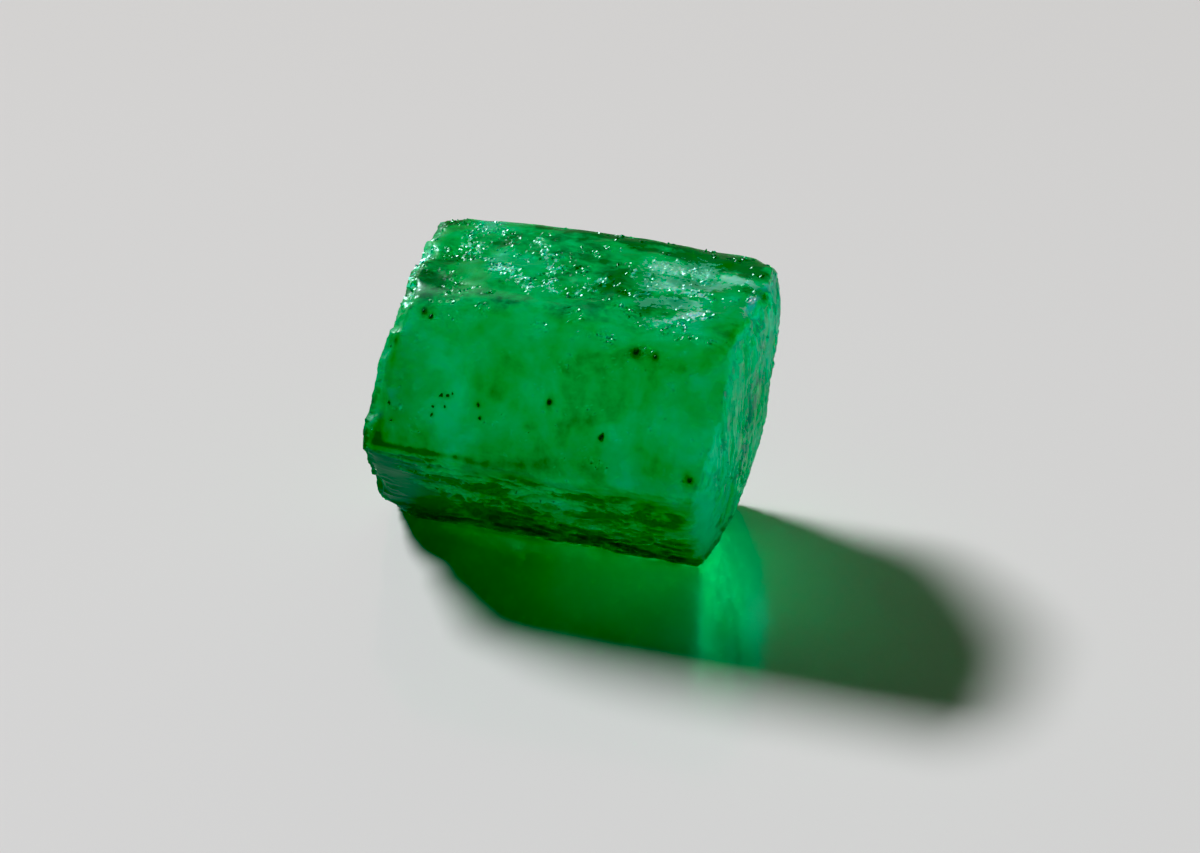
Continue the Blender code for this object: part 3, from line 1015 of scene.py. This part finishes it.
    def read_marks(self, bm: BMesh, view: View) -> Marks:
        """Works out the strokes' strength at every point, with a dark halo about each speck.

        Args:
            bm: The skin.
            view: What turns a pixel into a place on the stone.

        Returns:
            The strengths.
        """
        places = np.array([vert.co[:] for vert in bm.verts])
        halos = {name: tuple(self.halo_about(spot) for spot in spots) for name, spots in SPECKS.items()}
        return Marks(
            tones=strengths(TONES, view, places) + strengths(halos, view, places),
            calms=strengths(CALMS, view, places),
            sparkles=strengths(SPARKLES, view, places),
            veils=strengths(VEILS, view, places),
        )

    def halo_about(self, spot: Spot) -> Stroke:
        """The mark of the dark stone about a speck."""
        return Stroke(spot.pixel, spot.pixel, self.halo_width * spot.diameter, -self.halo)

    def carve(self, bm: BMesh, view: View) -> None:
        """Sinks every point by its side's relief, and turns and frosts faces.

        The points also take the stone's tone and wear, which the finish reads.

        Args:
            bm: The skin.
            view: What turns a pixel into a place on the stone.
        """
        wear = bm.verts.layers.float.new("wear")
        tone = bm.verts.layers.float.new("tone")
        marks = self.read_marks(bm, view)
        chance = random.Random(self.seed)
        noise.seed_set(self.seed)
        for vert in bm.verts:
            parts = self.shares(vert.normal)
            calm = clamp(marks.calms[vert.index])
            vert[wear] = self.wear_at(vert, parts)
            vert[tone] = self.tone_at(vert, parts, calm, marks)
            if vert.co.z >= self.flat_below:
                self.sink(vert, parts, calm, chance)
        bm.normal_update()
        for face in bm.faces:
            self.chip(face, marks.sparkles, wear, chance)
            self.frost(face, marks.veils, chance)

    def wear_at(self, vert: BMVert, parts: Parts) -> float:
        """How rough the stone is at a point.

        Args:
            vert: The point.
            parts: The relief of each side that has a share there, with that share.

        Returns:
            The roughness, from 0 to 1.
        """
        total = sum(share for _, share in parts) or 1.0
        rough = sum(share * relief.roughness for relief, share in parts) / total or self.plain_roughness
        rubbed = 1 - ease(self.off_edge(vert), self.worn_core, self.worn_reach)
        return rough + rubbed * max(self.worn_roughness - rough, 0)

    def tone_at(self, vert: BMVert, parts: Parts, calm: float, marks: Marks) -> float:
        """How pale or dark the stone is at a point.

        Args:
            vert: The point.
            parts: The relief of each side that has a share there, with that share.
            calm: How smooth the stone is there, from 0 to 1.
            marks: The strokes' strengths.

        Returns:
            The tone, below 0 where the stone is darker.
        """
        total = sum(share for _, share in parts) or 1.0
        bruise = self.main_relief(vert.normal).bruise(vert.co, marks.sparkles[vert.index])
        shade = sum(share * relief.shade(vert.co, calm) for relief, share in parts) / total
        # The bruises' paleness is partly painted glint.
        return shade + marks.tones[vert.index] + self.bruise_and_glint_tone * bruise

    def sink(self, vert: BMVert, parts: Parts, calm: float, chance: random.Random) -> None:
        """Sinks a point by its sides' relief, and lets it drift a little along the surface.

        Args:
            vert: The point.
            parts: The relief of each side that has a share there, with that share.
            calm: How smooth the stone is there, from 0 to 1.
            chance: Where chance comes from.
        """
        sunk = sum(share * relief.depth(vert.co, calm) for relief, share in parts)
        sunk *= ease(vert.co.z, 0.0, self.flat_above)
        reach = self.jitter * min(edge.calc_length() for edge in vert.link_edges)
        drift = Vector(chance.uniform(-reach, reach) for _ in range(3))
        drift -= vert.normal * drift.dot(vert.normal)
        vert.co = vert.co + drift - vert.normal * sunk

    def chip(
        self, face: BMFace, sparkles: np.ndarray, wear: bmesh.types.BMLayerItem, chance: random.Random
    ) -> None:
        """Turns a face of a bruise to glint, by chance, and shades all the others smooth.

        Args:
            face: The face.
            sparkles: What the strokes add to the share of places that hold a fleck, at every point.
            wear: The layer of the points' roughness.
            chance: Where chance comes from.
        """
        relief = self.main_relief(face.normal)
        marked = max(sparkles[vert.index] for vert in face.verts)
        middle = face.calc_center_median()
        bruise = relief.bruise(middle, marked)
        way = Vector(self.chip_way) + Vector(chance.gauss(0, self.chip_spread) for _ in range(3))
        across = face.normal.dot(way)
        chosen = chance.random() < relief.chips * bruise
        face.smooth = not chosen
        if not chosen or across < self.chip_facing or middle.z < self.flat_above:
            return
        for vert in face.verts:
            vert[wear] = self.chip_roughness
            vert.co -= face.normal * (way / across).dot(vert.co - middle)

    def frost(self, face: BMFace, veils: np.ndarray, chance: random.Random) -> None:
        """Gives a face of a veil the frosted finish, by chance, and all the others the plain one.

        Args:
            face: The face.
            veils: The strength of the veils' strokes at every point.
            chance: Where chance comes from.
        """
        veil = veils[face.verts[0].index]
        share = self.main_relief(face.normal).bruise(face.calc_center_median(), veil)
        face.material_index = int(veil > self.least_veil and chance.random() < share)

    def keep_inside(self, bm: BMesh, low: Vector, high: Vector) -> None:
        """Holds every point above the bottom of the solid's box, and within a margin of the rest.

        Args:
            bm: The skin.
            low: The box's lowest corner.
            high: Its highest corner.
        """
        bottom = low - Vector((self.margin, self.margin, 0))
        top = high + Vector((self.margin, self.margin, self.margin))
        for vert in bm.verts:
            vert.co = [clamp(value, a, b) for value, a, b in zip(vert.co, bottom, top)]


@dataclass
class Inclusions:
    """Things inside the stone, placed behind pixels of the photo and joined in one piece.

    Attributes:
        shape: How wide a lump is along its own axes. The third one points out of the stone.
        roundness: How often a lump's faces are split.
        lumps: How many lumps a thing has. The first is in its middle.
        scatter: How far the others lie from there, as a share of the thing's radius.
        lump_share: How small and how big one of several lumps can be, as a share of it.
        noise_span: How far apart the places are from which the unevenness is read.
    """

    name: str
    view: View
    spots: SpotTable
    shape: Triple
    roundness: int
    lumpiness: float
    lumps: int
    seed: int
    scatter: float = 0.6
    lump_share: tuple[float, float] = (0.45, 0.85)
    noise_scale: float = 1.4
    noise_span: float = 50.0

    def build(self) -> bpy.types.Object:
        """Makes the piece.

        Returns:
            The object with all the inclusions.
        """
        bm = bmesh.new()
        chance = random.Random(self.seed)
        for group in self.spots.values():
            for spot in group:
                self.add_thing(bm, spot, chance)
        mesh = bpy.data.meshes.new(self.name)
        bm.to_mesh(mesh)
        bm.free()
        mesh.shade_smooth()
        piece = bpy.data.objects.new(self.name, mesh)
        bpy.context.scene.collection.objects.link(piece)
        return piece

    def add_thing(self, bm: BMesh, spot: Spot, chance: random.Random) -> None:
        """Adds one thing with all its lumps.

        Args:
            bm: The mesh that takes it.
            spot: Where it is.
            chance: Where chance comes from.
        """
        hit = self.view.hit(spot.pixel)
        if hit is None:
            return
        place, normal = hit
        radius = spot.diameter * self.view.camera.pixel_size() / 2
        centre = place - normal * (spot.depth + radius * self.shape[2])
        turn = normal.to_track_quat("Z", "X").to_matrix()
        for number in range(self.lumps):
            aside = chance.uniform(-self.scatter, self.scatter)
            along = chance.uniform(-self.scatter, self.scatter)
            shift = Vector((aside, along, 0)) * radius if number else Vector((0, 0, 0))
            size = radius * (1 if self.lumps == 1 else chance.uniform(*self.lump_share))
            self.add_lump(bm, centre + turn @ shift, turn, size, chance.uniform(0, self.noise_span))

    def add_lump(
        self, bm: BMesh, centre: Vector, turn: Matrix, radius: float, offset: float
    ) -> None:
        """Adds one uneven lump.

        Args:
            bm: The mesh that takes it.
            centre: Its middle.
            turn: Its axes, with the third one out of the stone.
            radius: Half its diameter.
            offset: Where its unevenness is read from.
        """
        made = bmesh.ops.create_icosphere(bm, subdivisions=self.roundness, radius=1.0)["verts"]
        for vert in made:
            way = vert.co.copy()
            uneven = SOFT.at(way * self.noise_scale + Vector((offset, 0, 0)))
            local = Vector(a * b for a, b in zip(way, self.shape)) * (1 + self.lumpiness * uneven) * radius
            vert.co = centre + turn @ local


class LampShape(Enum):
    """The outlines that a lamp can have, by Blender's names for them."""

    OVAL = "ELLIPSE"
    RECTANGLE = "RECTANGLE"


@dataclass(frozen=True)
class Lamp:
    """A light that looks at the crystal. direction is the way to it from there."""

    name: str
    shape: LampShape
    direction: Triple
    distance: float
    size: tuple[float, float]
    power: float
    colour: Triple = (1.0, 1.0, 1.0)

    def build(self) -> None:
        """Makes the light."""
        data = bpy.data.lights.new(self.name, "AREA")
        data.shape = self.shape.value
        data.size, data.size_y = self.size
        data.color = self.colour
        data.energy = self.power
        light = bpy.data.objects.new(self.name, data)
        way = Vector(self.direction).normalized()
        light.location = way * self.distance
        light.rotation_euler = way.to_track_quat("Z", "Y").to_euler()
        bpy.context.scene.collection.objects.link(light)


@dataclass(frozen=True)
class Stage:
    """The plain pale floor, the main light, the warm wall of light behind and the weak sky.

    Attributes:
        black: The level of red, green and blue that the picture shows as none.
        bounces: How often light may turn on its way through the stone.
    """

    floor_size: float = 1.6
    floor_colour: Colour = (0.765, 0.765, 0.78, 1)
    floor_roughness: float = 0.12
    key: Lamp = Lamp(
        name="key_light", shape=LampShape.OVAL, direction=(-0.686, 0.438, 0.581), distance=2.5,
        size=(0.85, 0.34), power=92.0,
    )
    wall: Lamp = Lamp(
        name="pale_wall", shape=LampShape.RECTANGLE, direction=(-0.28, 0.88, 0.40), distance=2.8,
        size=(5.0, 2.2), power=10.0, colour=(1.0, 0.80, 0.62),
    )
    sky: Colour = (1.0, 0.70, 0.60, 1)
    sky_strength: float = 0.026
    black: Triple = (0.032, 0.0, 0.014)
    bounces: int = 24

    def build(self) -> None:
        """Makes the floor and the light, and sets how far light runs and how the picture shows it."""
        paths = bpy.context.scene.cycles
        paths.max_bounces = self.bounces
        paths.glossy_bounces = self.bounces
        paths.transmission_bounces = self.bounces
        self.floor()
        self.key.build()
        self.wall.build()
        world = bpy.data.worlds.new("studio")
        world.use_nodes = True
        fill(world.node_tree.nodes["Background"], {"Color": self.sky, "Strength": self.sky_strength})
        bpy.context.scene.world = world
        picture = bpy.context.scene.view_settings
        picture.view_transform = "Standard"
        picture.use_curve_mapping = True
        picture.curve_mapping.black_level = self.black
        picture.curve_mapping.update()

    def floor(self) -> None:
        """Makes the floor that the crystal lies on."""
        bm = bmesh.new()
        bmesh.ops.create_grid(bm, x_segments=1, y_segments=1, size=self.floor_size / 2)
        mesh = bpy.data.meshes.new("floor")
        bm.to_mesh(mesh)
        bm.free()
        floor = bpy.data.objects.new("floor", mesh)
        bpy.context.scene.collection.objects.link(floor)
        finish = {"Base Color": self.floor_colour, "Roughness": self.floor_roughness}
        mesh.materials.append(new_material("pale_floor", finish))


def settle(piece: bpy.types.Object) -> None:
    """Makes a piece ride on the stone's body and reports it.

    Args:
        piece: The piece.
    """
    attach(piece, BODY)
    log.info("%s: %d faces", piece.name, len(piece.data.polygons))


def main() -> None:
    """Builds the crystal's looks, its stage and its camera."""
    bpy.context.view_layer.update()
    camera = PhotoCamera()
    camera.build()
    skin, view = CrystalSkin(camera).build(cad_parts[CRYSTAL_NODE])
    skin.data.materials.append(StoneFinish().material())
    skin.data.materials.append(VeilFinish().material())
    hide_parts(CRYSTAL_NODE)
    settle(skin)
    specks = Inclusions(
        name="dark_specks", view=view, spots=SPECKS, shape=(1.0, 0.8, 0.7), roundness=2,
        lumpiness=0.7, lumps=4, seed=5,
    ).build()
    specks.data.materials.append(SpeckFinish().material())
    settle(specks)
    clouds = Inclusions(
        name="dark_clouds", view=view, spots=CLOUDS, shape=(1.0, 0.7, 0.35), roundness=4,
        lumpiness=0.5, lumps=1, seed=9,
    ).build()
    clouds.data.materials.append(CloudFinish().material())
    settle(clouds)
    Stage().build()


if __name__ == "__main__":
    logging.basicConfig(level=logging.INFO, format="%(name)s: %(message)s")
    main()
